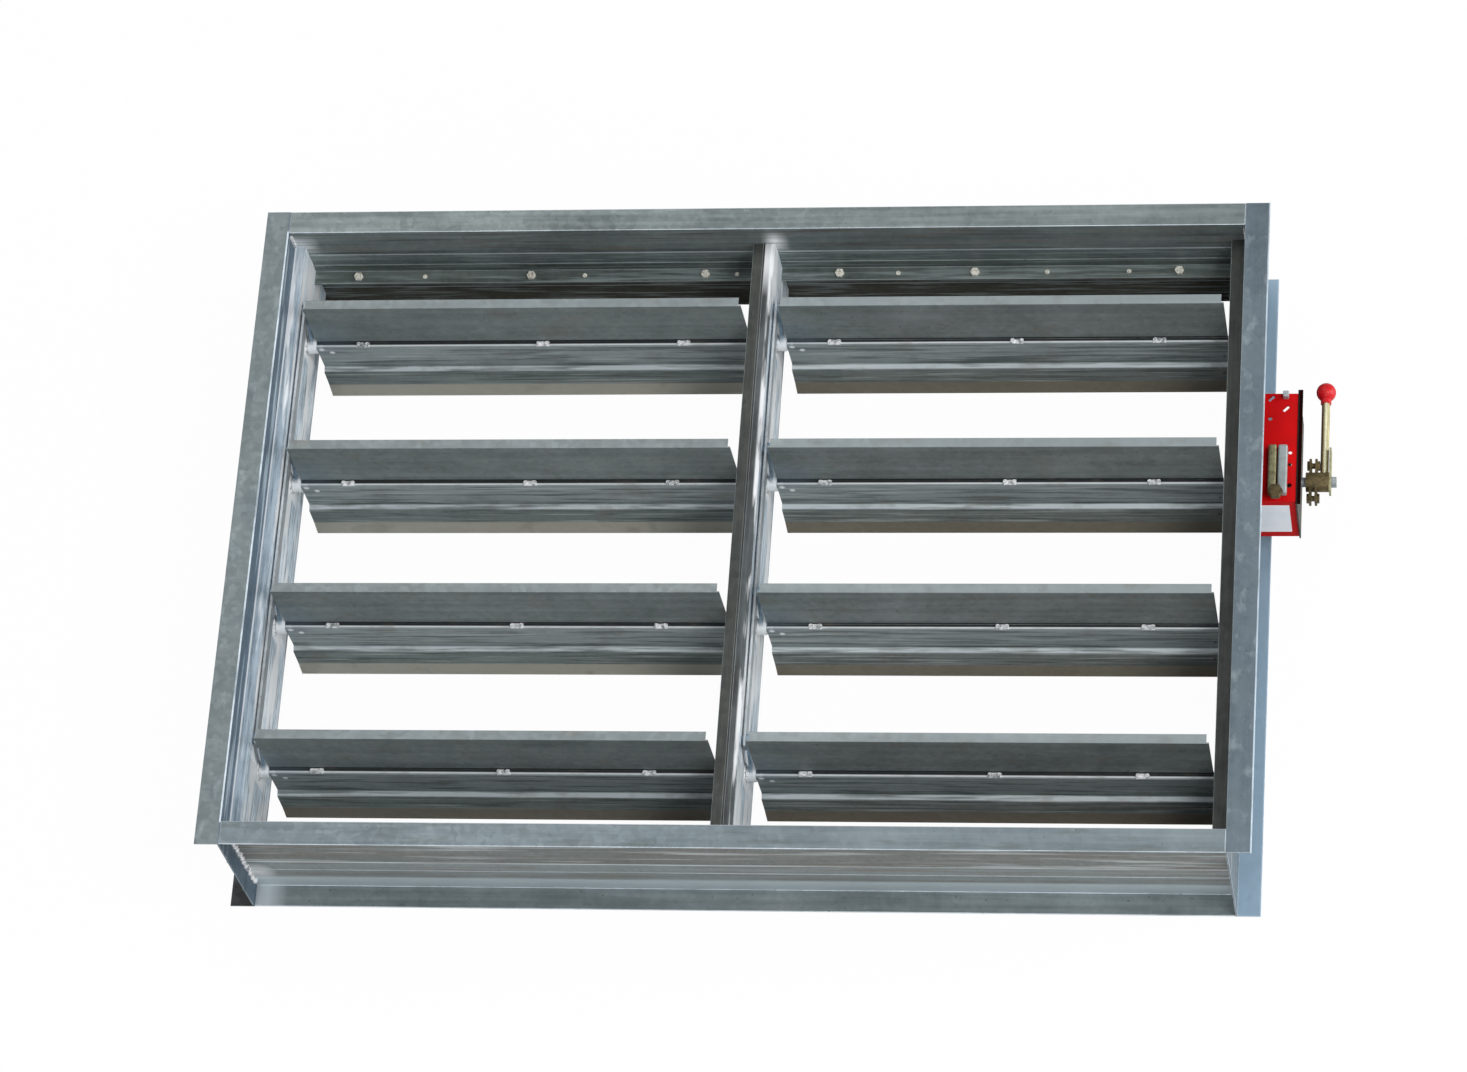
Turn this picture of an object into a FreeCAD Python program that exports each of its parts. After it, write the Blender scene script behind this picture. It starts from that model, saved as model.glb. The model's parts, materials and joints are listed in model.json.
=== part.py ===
import FreeCAD, Part
import os
import Sketcher

os.makedirs("parts", exist_ok=True)
doc = FreeCAD.newDocument("fire_damper")

# The damper lies face up: X runs across it, Y up its height, Z from the rear flanges to the front.
# Every size is in millimetres and is written once in this sheet.
sizes = doc.addObject("Spreadsheet::Sheet", "Sizes")
ROWS = [
    ("open_wide", "1200"), ("open_high", "800"), ("flange", "30"), ("depth", "200"),
    ("sheet", "2"), ("thin", "1.5"), ("crease", "1.2"), ("crease_half", "3"),
    ("crease_front", "59"), ("crease_rear", "54"),
    ("lap", "3.2"), ("edge_gap", "9"),
    ("rail_inset", "38"), ("rail_left", "14"), ("rail_right", "19"), ("mullion_wide", "28"),
    ("core_thick", "2"),
    ("shaft_rad", "6"), ("play", "0.05"), ("shaft_over", "10"), ("shaft_over_right", "5"),
    ("shaft_tail", "6.5"), ("shaft_flat", "10"),
    ("bush_rad", "8.5"), ("bush_flange", "13"), ("bush_lip", "1.3"), ("bush_out", "2"),
    ("lip", "12"), ("ledge", "8.4"),
    ("band_end", "41"), ("low_start", "44"), ("fold_back", "1.03"), ("low", "15.3"), ("strip", "25"),
    ("low_rear", "17"), ("tail", "20.3"), ("hem_gap", "0.8"), ("lip_cut", "3"),
    ("end_gap", "14"), ("far_gap", "4"), ("far_gap_right", "4.5"),
    ("tongue_half", "3"), ("tongue_thick", "2"), ("stud_head", "2.9"),
    ("stud_tall", "2.5"), ("stud_apart", "11"),
    ("clip_half", "8"), ("clip_inset", "0.6"), ("clip_sheet", "1.6"), ("stud_drop", "3.75"),
    ("stud_first", "60"), ("stud_last", "84"), ("stud_deep", "3"),
    ("crank_long", "50"), ("crank_turn", "30"), ("crank_thick", "4"), ("crank_half", "8"),
    ("hub_rad", "10"), ("hub_gap", "0.5"),
    ("pin_rad", "4"), ("pin_head", "7"), ("pin_gap", "0.3"), ("pin_cap", "1.8"),
    ("bar_thick", "3"), ("bar_half", "8"), ("bar_over", "10"),
    ("pin_play", "0.05"), ("pin_slack", "0.1"),
    ("stop_leg", "20"), ("stop_foot", "18"), ("stop_gap", "0.3"),
    ("bolt_rad", "6"), ("bolt_tall", "4"), ("rivet_rad", "3"), ("rivet_tall", "1.5"),
    ("weld", "3"), ("weld_long", "24"), ("weld_in", "8"),
    ("box_wide", "65"), ("box_rear", "47"), ("box_fore", "49"), ("box_up", "96"),
    ("box_down", "50"), ("foot_hole", "15"),
    ("slot_long", "9"), ("slot_wide", "3.5"), ("slot_inner", "34"), ("slot_high", "11"),
    ("slot_outer", "16"), ("slot_low", "25"),
    ("hole_small", "2.4"), ("hole_large", "3"), ("hole_inner", "33"), ("hole_upper", "34"),
    ("hole_edge", "8"), ("hole_middle", "80"), ("hole_lower", "96"), ("hole_bottom", "124"),
    ("label_wide", "44"), ("label_deep", "72"), ("label_thick", "0.6"), ("label_back", "14"),
    ("label_inset", "8"),
    ("side_up", "5"), ("side_down", "3"), ("side_edge", "4"), ("side_hole", "8"),
    ("side_fore", "1"),
    ("latch_inset", "10.5"), ("latch_wide", "11.5"), ("latch_gap", "1.5"), ("latch_thin", "10"),
    ("latch_low", "43"), ("latch_top", "22"), ("latch_tall", "12"), ("latch_nut", "9.5"),
    ("latch_cap", "8"), ("latch_up", "44"),
    ("drum_inset", "10"), ("drum_wide", "13"), ("drum_thin", "11"),
    ("drum_small", "33"), ("drum_large", "35"),
    ("hub_stand", "7"), ("hub_long", "28"), ("lever_hub_rad", "12"), ("lug_inset", "4"),
    ("lug_apart", "4"), ("lug_thick", "3"), ("lug_reach", "28"), ("lug_half", "8"), ("lug_bolt", "22"),
    ("lug_bolt_rad", "3.5"), ("lug_head", "6"), ("lug_cap", "2.8"),
    ("rod_rad", "5"), ("rod_inset", "1"), ("ball_rad", "12"), ("ball_up", "122"),
    ("rod_short", "4"), ("neck_rad", "6.5"), ("neck_long", "16"),
    ("flag_thick", "2.5"), ("flag_up", "43"), ("flag_down", "14"), ("flag_half", "9"),
    ("clip_wide", "7"), ("clip_tall", "8"), ("clip_deep", "9"), ("clip_back", "18"),
]
for line, (alias, text) in enumerate(ROWS, start=1):
    sizes.set("A%d" % line, alias)
    sizes.set("B%d" % line, text)
    sizes.setAlias("B%d" % line, alias)
doc.recompute()

HALF_WIDE = "Sizes.open_wide / 2"
HALF_HIGH = "Sizes.open_high / 2"
# Faces across X that pieces of the actuator are set from, going outwards.
BOX_IN = "Sizes.open_wide / 2 + Sizes.sheet + Sizes.crease"
BOX_OUT = "Sizes.open_wide / 2 + Sizes.sheet + Sizes.box_wide"
SIDE_OUT = BOX_OUT + " + Sizes.sheet"
HUB_IN = SIDE_OUT + " + Sizes.hub_stand"
HUB_OUT = HUB_IN + " + Sizes.hub_long"
FLAG_OUT = HUB_OUT + " + Sizes.flag_thick"
SHAFT_TAIL = FLAG_OUT + " + Sizes.shaft_tail"
SHAFT_LEFT = "-Sizes.open_wide / 2 - Sizes.sheet - Sizes.shaft_over"
SHAFT_RIGHT = "Sizes.open_wide / 2 + Sizes.sheet + Sizes.shaft_over_right"
# Four equal rows share the height; each blade laps the next by the same amount.
ROW_PITCH = "(Sizes.open_high - Sizes.lap - 2 * Sizes.edge_gap) / 4"
HALF_CHORD = "((%s) + Sizes.lap) / 2" % ROW_PITCH
ROW_LIFT = {1: ROW_PITCH + " * 1.5", 2: ROW_PITCH + " * 0.5",
            3: "-1 * %s * 0.5" % ROW_PITCH, 4: "-1 * %s * 1.5" % ROW_PITCH}
MID = "Sizes.depth / 2"
TO_X = FreeCAD.Rotation(FreeCAD.Vector(0, 1, 0), 90)
TO_Y = FreeCAD.Rotation(FreeCAD.Vector(1, 0, 0), -90)
TO_Z = FreeCAD.Rotation()
pieces = {}


def bind(obj, **expressions):
    for name, text in expressions.items():
        obj.setExpression(name, text)


def place(obj, x="0", y="0", z="0", turn=None):
    if turn is not None:
        obj.Placement = FreeCAD.Placement(FreeCAD.Vector(), turn)
    obj.setExpression("Placement.Base.x", x)
    obj.setExpression("Placement.Base.y", y)
    obj.setExpression("Placement.Base.z", z)


def block(name, x0, x1, y0, y1, z0, z1):
    obj = doc.addObject("Part::Box", name)
    bind(obj, Length="(%s) - (%s)" % (x1, x0), Width="(%s) - (%s)" % (y1, y0),
         Height="(%s) - (%s)" % (z1, z0))
    place(obj, x0, y0, z0)
    return obj


def rod(name, radius, start, end, x="0", y="0", z="0", turn=TO_X):
    # A round bar along X from start to end; with another turn the run is measured along that axis.
    obj = doc.addObject("Part::Cylinder", name)
    bind(obj, Radius=radius, Height="(%s) - (%s)" % (end, start))
    if turn is TO_X:
        place(obj, start, y, z, turn)
    elif turn is TO_Y:
        place(obj, x, start, z, turn)
    else:
        place(obj, x, y, start, turn)
    return obj


def hexagon(name, radius, start, end, x="0", y="0", z="0", turn=TO_X):
    obj = doc.addObject("Part::Prism", name)
    obj.Polygon = 6
    bind(obj, Circumradius=radius, Height="(%s) - (%s)" % (end, start))
    if turn is TO_X:
        place(obj, start, y, z, turn)
    else:
        place(obj, x, y, start, turn)
    return obj


def fuse(name, shapes):
    obj = doc.addObject("Part::MultiFuse", name)
    obj.Shapes = shapes
    return obj


def cut(name, base, tool):
    obj = doc.addObject("Part::Cut", name)
    obj.Base = base
    obj.Tool = tool
    return obj


def group(name, shapes):
    obj = doc.addObject("Part::Compound", name)
    obj.Links = shapes
    return obj


def outline_on(body, name, role, corners):
    # A closed outline on one of the body's own origin planes, each corner held by its two distances.
    outline = body.newObject("Sketcher::SketchObject", name + "_outline")
    plane = [item for item in body.Origin.OriginFeatures if item.Role == role][0]
    outline.AttachmentSupport = [(plane, "")]
    outline.MapMode = "FlatFace"
    spots = [tuple(float(sizes.evalExpression(part)) for part in corner) for corner in corners]
    count = len(spots)
    for i in range(count):
        a = FreeCAD.Vector(spots[i][0], spots[i][1], 0)
        b = FreeCAD.Vector(spots[(i + 1) % count][0], spots[(i + 1) % count][1], 0)
        outline.addGeometry(Part.LineSegment(a, b))
    for i in range(count):
        outline.addConstraint(Sketcher.Constraint("Coincident", i, 2, (i + 1) % count, 1))
    for i in range(count):
        for kind, axis in (("DistanceX", 0), ("DistanceY", 1)):
            index = outline.addConstraint(
                Sketcher.Constraint(kind, -1, 1, i, 1, spots[i][axis]))
            outline.setExpression("Constraints[%d]" % index, corners[i][axis])
    return outline


def folded(name, role, corners, length, middle=True, x="0", y="0", z="0"):
    # A piece of constant section.
    body = doc.addObject("PartDesign::Body", name)
    pad = body.newObject("PartDesign::Pad", name + "_pad")
    pad.Profile = outline_on(body, name, role, corners)
    pad.Midplane = middle
    pad.setExpression("Length", length)
    place(body, x, y, z)
    return body


def turned(name, corners, x="0", y="0", z="0"):
    # A round piece about an upright axis; the first value of a corner is its distance from that axis.
    body = doc.addObject("PartDesign::Body", name)
    outline = outline_on(body, name, "XY_Plane", corners)
    spin = body.newObject("PartDesign::Revolution", name + "_turn")
    spin.Profile = outline
    spin.ReferenceAxis = (outline, ["V_Axis"])
    spin.Angle = 360
    place(body, x, y, z)
    return body


def keep(node, obj):
    obj.Label = node
    pieces[node] = obj
    return obj


def bores(name, radius, start, end):
    # One round tool per row, all along X.
    return group(name, [rod("%s_%d" % (name, row), radius, start, end, y=ROW_LIFT[row], z=MID)
                        for row in ROW_LIFT])


CREASE_FRONT = "Sizes.depth - Sizes.crease_front"


# Frame members: channels with the web at the opening and the flanges outward.
def crease_run(at, side, level):
    # Three corners of a shallow crease in a web, on its inner or outer face.
    run = []
    for step, rise in ((-1, "0"), (0, "Sizes.crease"), (1, "0")):
        run.append(("%s + %d * Sizes.crease_half" % (at, step), rise))
    if side < 0:
        run.reverse()
    return [("(%s) + %s" % (level, rise), z) for z, rise in run]


def channel(level, flip):
    # Section of one frame channel, as (distance from the middle, height) pairs.
    inner = level
    outer = "%s + Sizes.sheet" % level
    edge = "%s + Sizes.flange" % level
    run = [(inner, "0")]
    run += [(edge, "0"), (edge, "Sizes.sheet"), (outer, "Sizes.sheet")]
    run += crease_run("Sizes.crease_rear", 1, outer)
    run += crease_run(CREASE_FRONT, 1, outer)
    run += [(outer, "Sizes.depth - Sizes.sheet"), (edge, "Sizes.depth - Sizes.sheet")]
    run += [(edge, "Sizes.depth"), (inner, "Sizes.depth")]
    run += crease_run(CREASE_FRONT, -1, inner)
    run += crease_run("Sizes.crease_rear", -1, inner)
    if flip:
        run = [("-(%s)" % across, height) for across, height in run]
    return run


TALL = "Sizes.open_high + 2 * Sizes.flange"
keep("frame_top_member",
     folded("top_member", "YZ_Plane", channel(HALF_HIGH, False), "Sizes.open_wide"))
keep("frame_bottom_member",
     folded("bottom_member", "YZ_Plane", channel(HALF_HIGH, True), "Sizes.open_wide"))
left_jamb = folded("left_jamb_sheet", "XZ_Plane", channel(HALF_WIDE, True), TALL)
right_jamb = folded("right_jamb_sheet", "XZ_Plane", channel(HALF_WIDE, False), TALL)
keep("frame_left_jamb", cut("left_jamb", left_jamb, bores(
    "left_jamb_bore", "Sizes.bush_rad", "-(%s + Sizes.flange)" % HALF_WIDE, "-%s + 1" % HALF_WIDE)))
keep("frame_right_jamb", cut("right_jamb", right_jamb, bores(
    "right_jamb_bore", "Sizes.bush_rad", HALF_WIDE + " - 1", HALF_WIDE + " + Sizes.flange")))


# Bearing rails and mullion halves: shallow channels whose faces stand into the opening.
RAIL_LOW = "Sizes.rail_inset"
RAIL_TOP = "Sizes.depth - Sizes.rail_inset"


def rail_section(foot, face, side):
    # foot is where the legs end and face is the outside of the web; side is +1 when face > foot.
    inside = "%s - %d * Sizes.thin" % (face, side)
    return [(foot, RAIL_LOW), (face, RAIL_LOW), (face, RAIL_TOP), (foot, RAIL_TOP),
            (foot, RAIL_TOP + " - Sizes.thin"), (inside, RAIL_TOP + " - Sizes.thin"),
            (inside, RAIL_LOW + " + Sizes.thin"), (foot, RAIL_LOW + " + Sizes.thin")]


LEFT_FACE = "-Sizes.open_wide / 2 + Sizes.rail_left"
RIGHT_FACE = "Sizes.open_wide / 2 - Sizes.rail_right"
MULL_LEFT = "-Sizes.mullion_wide / 2"
MULL_RIGHT = "Sizes.mullion_wide / 2"
CORE_LEFT = "-Sizes.core_thick / 2"
CORE_RIGHT = "Sizes.core_thick / 2"

rail_l = folded("rail_l", "XZ_Plane", rail_section("-Sizes.open_wide / 2", LEFT_FACE, 1), "Sizes.open_high")
rail_r = folded("rail_r", "XZ_Plane", rail_section("Sizes.open_wide / 2", RIGHT_FACE, -1), "Sizes.open_high")
mull_l = folded("mull_l", "XZ_Plane", rail_section(CORE_LEFT, MULL_LEFT, -1), "Sizes.open_high")
mull_r = folded("mull_r", "XZ_Plane", rail_section(CORE_RIGHT, MULL_RIGHT, 1), "Sizes.open_high")
core = block("core_sheet", CORE_LEFT, CORE_RIGHT, "-Sizes.open_high / 2", HALF_HIGH, RAIL_LOW, RAIL_TOP)
keep("left_bearing_rail", cut("left_rail", rail_l, bores(
    "left_rail_bore", "Sizes.bush_rad", "-Sizes.open_wide / 2", LEFT_FACE + " + 1")))
keep("right_bearing_rail", cut("right_rail", rail_r, bores(
    "right_rail_bore", "Sizes.bush_rad", RIGHT_FACE + " - 1", "Sizes.open_wide / 2")))
keep("mullion_left_half", cut("mullion_l", mull_l, bores(
    "mull_left_bore", "Sizes.bush_rad", MULL_LEFT + " - 1", "0")))
keep("mullion_right_half", cut("mullion_r", mull_r, bores(
    "mull_right_bore", "Sizes.bush_rad", "0", MULL_RIGHT + " + 1")))
keep("mullion_core", cut("mullion_c", core, bores(
    "core_bore", "Sizes.bush_rad", CORE_LEFT + " - 1", CORE_RIGHT + " + 1")))


# Flanged bushes that carry the four shafts.
def bush(name, row, start, end, lips):
    lift = ROW_LIFT[row]
    shapes = [rod(name + "_tube", "Sizes.bush_rad", start, end, y=lift, z=MID)]
    for number, (a, b) in enumerate(lips):
        shapes.append(rod("%s_lip_%d" % (name, number), "Sizes.bush_flange", a, b, y=lift, z=MID))
    solid = fuse(name + "_solid", shapes)
    hole = rod(name + "_hole", "Sizes.shaft_rad + Sizes.play", start + " - 1", end + " + 1",
               y=lift, z=MID)
    return cut(name, solid, hole)


LEFT_OUT = "-Sizes.open_wide / 2 - Sizes.sheet - Sizes.bush_out"
RIGHT_OUT = "Sizes.open_wide / 2 + Sizes.sheet + Sizes.bush_out"
LEFT_LIP = (LEFT_FACE, LEFT_FACE + " + Sizes.bush_lip")
RIGHT_LIP = (RIGHT_FACE + " - Sizes.bush_lip", RIGHT_FACE)
MULL_LIPS = [(MULL_LEFT + " - Sizes.bush_lip", MULL_LEFT), (MULL_RIGHT, MULL_RIGHT + " + Sizes.bush_lip")]
keep("bushes_left", group("left_bushes", [
    bush("left_bush_%d" % row, row, LEFT_OUT, LEFT_LIP[1], [LEFT_LIP]) for row in ROW_LIFT]))
keep("bushes_mullion", group("mid_bushes", [
    bush("mid_bush_%d" % row, row, MULL_LIPS[0][0], MULL_LIPS[1][1], MULL_LIPS) for row in ROW_LIFT]))
keep("bushes_right", group("right_bushes", [
    bush("right_bush_%d" % row, row, RIGHT_LIP[0], RIGHT_OUT, [RIGHT_LIP]) for row in ROW_LIFT]))

# Stop angles that the end blades close against, one at the top and one at the bottom of each bay.
BAYS = {"left": (LEFT_FACE, MULL_LEFT), "right": (MULL_RIGHT, RIGHT_FACE)}
STOP_Z = MID + " - Sizes.stop_gap"
for side, (start, end) in BAYS.items():
    leg = [("%s - Sizes.stop_leg" % HALF_HIGH, STOP_Z), (HALF_HIGH, STOP_Z),
           (HALF_HIGH, STOP_Z + " + Sizes.stop_foot"),
           (HALF_HIGH + " - Sizes.sheet", STOP_Z + " + Sizes.stop_foot"),
           (HALF_HIGH + " - Sizes.sheet", STOP_Z + " + Sizes.sheet"),
           ("%s - Sizes.stop_leg" % HALF_HIGH, STOP_Z + " + Sizes.sheet")]
    low_leg = [("-(%s)" % across, "2 * (%s) - (%s)" % (STOP_Z, height)) for across, height in leg]
    span = "(%s) - (%s)" % (end, start)
    keep("stop_top_" + side, folded("top_stop_" + side, "YZ_Plane", leg, span, False, x=start))
    keep("stop_bottom_" + side, folded("low_stop_" + side, "YZ_Plane", low_leg, span, False, x=start))

# Heads of the bolts and rivets on the front faces of the stops, as shares of each bay's width.
BOLTS_ALONG = {"left": (0.1, 0.49, 0.88), "right": (0.13, 0.43, 0.88)}
RIVETS_ALONG = {"left": (0.25, 0.61, 0.95), "right": (0.26, 0.59, 0.77)}
heads = []
for side, (start, end) in BAYS.items():
    for number, share in enumerate(BOLTS_ALONG[side]):
        x = "(%s) * %g + (%s) * %g" % (start, 1 - share, end, share)
        face = STOP_Z + " + Sizes.sheet"
        y = HALF_HIGH + " - Sizes.stop_leg / 2 - Sizes.sheet / 2"
        heads.append(hexagon("stop_bolt_%s_%d" % (side, number), "Sizes.bolt_rad", face,
                             face + " + Sizes.bolt_tall", x=x, y=y, turn=TO_Z))
    for number, share in enumerate(RIVETS_ALONG[side]):
        x = "(%s) * %g + (%s) * %g" % (start, 1 - share, end, share)
        heads.append(rod("stop_rivet_%s_%d" % (side, number), "Sizes.rivet_rad", face,
                         face + " + Sizes.rivet_tall", x=x, y=y, turn=TO_Z))
keep("stop_fasteners", group("stop_heads", heads))

# Small beads in the four inside corners where the members are welded to the jambs.
beads = []
for across in (1, -1):
    for up in (1, -1):
        name = "bead_%s_%s" % ("right" if across > 0 else "left", "top" if up > 0 else "low")
        x = "%d * (Sizes.open_wide / 2 - Sizes.weld / 2)" % across
        y = "%d * (Sizes.open_high / 2 - Sizes.weld / 2)" % up
        beads.append(block(name, x + " - Sizes.weld / 2", x + " + Sizes.weld / 2",
                           y + " - Sizes.weld / 2", y + " + Sizes.weld / 2",
                           "Sizes.depth - Sizes.weld_in - Sizes.weld_long", "Sizes.depth - Sizes.weld_in"))
keep("corner_welds", group("corner_beads", beads))


# Blades, shafts and cranks of the four rows.
def blade_section():
    # Corners across the sheet: first value is up from the shaft axis, second is towards the front.
    band = "-(Sizes.shaft_rad + Sizes.play + Sizes.thin)"
    half = HALF_CHORD
    thin = "Sizes.thin"
    return [
        ("Sizes.lip", half), ("0", half), ("0", "Sizes.ledge"), (band, "Sizes.ledge"),
        (band, "-Sizes.band_end"), ("-Sizes.low", "-Sizes.low_start"),
        ("-Sizes.low_rear", "-%s + Sizes.strip" % half), ("-Sizes.tail", "-" + half),
        ("-Sizes.hem_gap", "-" + half),
        ("-Sizes.hem_gap", "-%s + %s" % (half, thin)),
        ("-Sizes.tail + " + thin, "-%s + %s" % (half, thin)),
        ("-Sizes.low_rear + " + thin, "-%s + Sizes.strip" % half),
        ("-Sizes.low + " + thin, "-Sizes.low_start - Sizes.fold_back"),
        (band + " + " + thin, "-Sizes.band_end - Sizes.fold_back"),
        (band + " + " + thin, "Sizes.ledge - " + thin),
        (thin, "Sizes.ledge - " + thin), (thin, half + " - " + thin),
        ("Sizes.lip", half + " - " + thin)]


def clip_places(start, end):
    # Where the three clips stand along one blade.
    return (start + " + Sizes.stud_first", "(%s) * 0.475 + (%s) * 0.525" % (start, end),
            end + " - Sizes.stud_last")


BLADES = {"left": (LEFT_FACE + " + Sizes.end_gap", MULL_LEFT + " - Sizes.far_gap"),
          "right": (MULL_RIGHT + " + Sizes.end_gap", RIGHT_FACE + " - Sizes.far_gap_right")}
LEDGE = MID + " + Sizes.ledge"
CLIP_TOP = LEDGE + " + Sizes.clip_sheet"


def tongue(name, x, row, end):
    # The tongue of a clip reaches through the ledge into the shaft; the same block cuts its slots.
    across = ROW_LIFT[row] + " - Sizes.stud_drop"
    return block(name, x + " - Sizes.tongue_half", x + " + Sizes.tongue_half",
                 across + " - Sizes.tongue_thick / 2", across + " + Sizes.tongue_thick / 2",
                 MID + " + Sizes.stud_deep", end)


def clip(name, x, row):
    # A clip plate on the ledge with a tongue and two screw heads.
    lift = ROW_LIFT[row]
    plate = block(name + "_plate", x + " - Sizes.clip_half", x + " + Sizes.clip_half",
                  lift + " - 2 * Sizes.stud_drop + Sizes.clip_inset", lift + " - Sizes.clip_inset",
                  LEDGE, CLIP_TOP)
    heads = [hexagon("%s_head_%s" % (name, word), "Sizes.stud_head",
                     CLIP_TOP, CLIP_TOP + " + Sizes.stud_tall",
                     x="%s %s Sizes.stud_apart / 2" % (x, sign), y=lift + " - Sizes.stud_drop", turn=TO_Z)
             for word, sign in (("near", "-"), ("far", "+"))]
    return fuse(name, [plate, tongue(name + "_tongue", x, row, LEDGE)] + heads)


for row in ROW_LIFT:
    lift = ROW_LIFT[row]
    stud_bodies = []
    for side, (start, end) in BLADES.items():
        name = "blade_%s_%d" % (side, row)
        raw = folded(name + "_sheet", "YZ_Plane", blade_section(), "(%s) - (%s)" % (end, start), False,
                     x=start, y=lift, z=MID)
        tools = []
        for number, x in enumerate(clip_places(start, end)):
            tools.append(tongue("%s_slot_%d" % (name, number), x, row, LEDGE + " + 1"))
            stud_bodies.append(clip("%s_clip_%d" % (name, number), x, row))
        for tip, (a, b) in enumerate(((start + " - 1", start + " + Sizes.lip_cut"),
                                      (end + " - Sizes.lip_cut", end + " + 1"))):
            tools.append(block("%s_lip_cut_%d" % (name, tip), a, b,
                               lift + " + Sizes.thin", lift + " + Sizes.lip + 1",
                               MID + " + " + HALF_CHORD + " - Sizes.thin - 1",
                               MID + " + " + HALF_CHORD + " + 1"))
        keep(name, cut(name, raw, group(name + "_tools", tools)))
    keep("blade_studs_%d" % row, group("blade_studs_%d" % row, stud_bodies))
    if row == 2:
        bar = rod("shaft_bar_2", "Sizes.shaft_rad", SHAFT_LEFT, FLAG_OUT, y=lift, z=MID)
        flat = block("shaft_square_2", FLAG_OUT, SHAFT_TAIL,
                     lift + " - Sizes.shaft_flat / 2", lift + " + Sizes.shaft_flat / 2",
                     MID + " - Sizes.shaft_flat / 2", MID + " + Sizes.shaft_flat / 2")
        blank = fuse("shaft_blank_2", [bar, flat])
    else:
        blank = rod("shaft_bar_%d" % row, "Sizes.shaft_rad", SHAFT_LEFT, SHAFT_RIGHT,
                    y=lift, z=MID)
    holes = []
    for side, (start, end) in BLADES.items():
        for number, x in enumerate(clip_places(start, end)):
            holes.append(tongue("shaft_slot_%s_%d_%d" % (side, row, number), x, row, LEDGE))
    keep("shaft_row_%d" % row, cut("shaft_%d" % row, blank, group("shaft_holes_%d" % row, holes)))


# Places across X of the linkage beside one bay, counted from the face it stands by.
def stack(face):
    bar_in = "%s + 2 * Sizes.pin_gap + Sizes.pin_cap" % face
    bar_out = bar_in + " + Sizes.bar_thick"
    crank_in = bar_out + " + Sizes.pin_gap"
    return {"head": face + " + Sizes.pin_gap", "head_end": face + " + Sizes.pin_gap + Sizes.pin_cap",
            "bar": bar_in, "bar_end": bar_out, "crank": crank_in,
            "crank_end": crank_in + " + Sizes.crank_thick",
            "hub": face + " + Sizes.bush_lip + Sizes.pin_gap",
            "hub_end": face + " + Sizes.end_gap - Sizes.hub_gap"}


FACES = {"left": LEFT_FACE, "right": MULL_RIGHT}
PIN_UP = "Sizes.crank_long * sin(Sizes.crank_turn)"
PIN_AHEAD = "Sizes.crank_long * cos(Sizes.crank_turn)"
CRANK_TURN = FreeCAD.Rotation(FreeCAD.Vector(1, 0, 0), -float(sizes.crank_turn))


def crank(name, row, at):
    arm = block(name + "_arm", at["crank"], at["crank_end"], "-Sizes.crank_half", "Sizes.crank_half",
                "0", "Sizes.crank_long")
    eye = rod(name + "_eye", "Sizes.crank_half", at["crank"], at["crank_end"], z="Sizes.crank_long")
    boss = rod(name + "_boss", "Sizes.hub_rad", at["hub"], at["hub_end"])
    pin = rod(name + "_pin", "Sizes.pin_rad", at["head_end"], at["crank_end"], z="Sizes.crank_long")
    head = rod(name + "_head", "Sizes.pin_head", at["head"], at["head_end"], z="Sizes.crank_long")
    solid = fuse(name + "_solid", [arm, eye, boss, pin, head])
    hole = rod(name + "_bore", "Sizes.shaft_rad", at["hub"] + " - 1", at["hub_end"] + " + 1")
    piece = cut(name, solid, hole)
    place(piece, "0", ROW_LIFT[row], MID, CRANK_TURN)
    return piece


for side, face in FACES.items():
    at = stack(face)
    for row in ROW_LIFT:
        keep("crank_%s_%d" % (side, row), crank("crank_%s_%d" % (side, row), row, at))
    pin_z = MID + " + " + PIN_AHEAD
    top = ROW_LIFT[1] + " + " + PIN_UP
    low = ROW_LIFT[4] + " + " + PIN_UP
    strip = block("bar_strip_" + side, at["bar"], at["bar_end"], low + " - Sizes.bar_over",
                  top + " + Sizes.bar_over", pin_z + " - Sizes.bar_half", pin_z + " + Sizes.bar_half")
    holes = [rod("bar_hole_%s_%d" % (side, row),
                 "Sizes.pin_rad + " + ("Sizes.pin_play" if row == 2 else "Sizes.pin_slack"),
                 at["bar"] + " - 1", at["bar_end"] + " + 1", y=ROW_LIFT[row] + " + " + PIN_UP, z=pin_z)
             for row in ROW_LIFT]
    keep("tie_bar_" + side, cut("tie_bar_" + side, strip, group("bar_holes_" + side, holes)))

# Actuator box outside the right jamb, round the long shaft of row 2.
AXIS_Y = ROW_LIFT[2]
BOX_BACK = MID + " - Sizes.box_rear"
BOX_FRONT = MID + " + Sizes.box_fore"
CLIP_X = BOX_OUT + " - Sizes.clip_back"
BOX_TOP = AXIS_Y + " + Sizes.box_up"
BOX_LOW = AXIS_Y + " - Sizes.box_down"
front = block("box_front_sheet", BOX_IN, BOX_OUT, BOX_LOW, BOX_TOP,
              BOX_FRONT + " - Sizes.sheet", BOX_FRONT)
foot = block("box_foot_sheet", BOX_IN, BOX_IN + " + Sizes.sheet", BOX_LOW, BOX_TOP,
             BOX_BACK, BOX_FRONT)
tray = block("box_tray_sheet", BOX_IN, BOX_OUT, BOX_LOW, BOX_LOW + " + Sizes.sheet",
             BOX_BACK, BOX_FRONT)
window = [rod("box_axis_hole", "Sizes.foot_hole", BOX_IN + " - 1", BOX_IN + " + Sizes.sheet + 1",
              y=AXIS_Y, z=MID)]
SLANT = FreeCAD.Rotation(FreeCAD.Vector(0, 0, 1), 45)
PLATE_BACK = BOX_FRONT + " - Sizes.sheet - 1"
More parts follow.
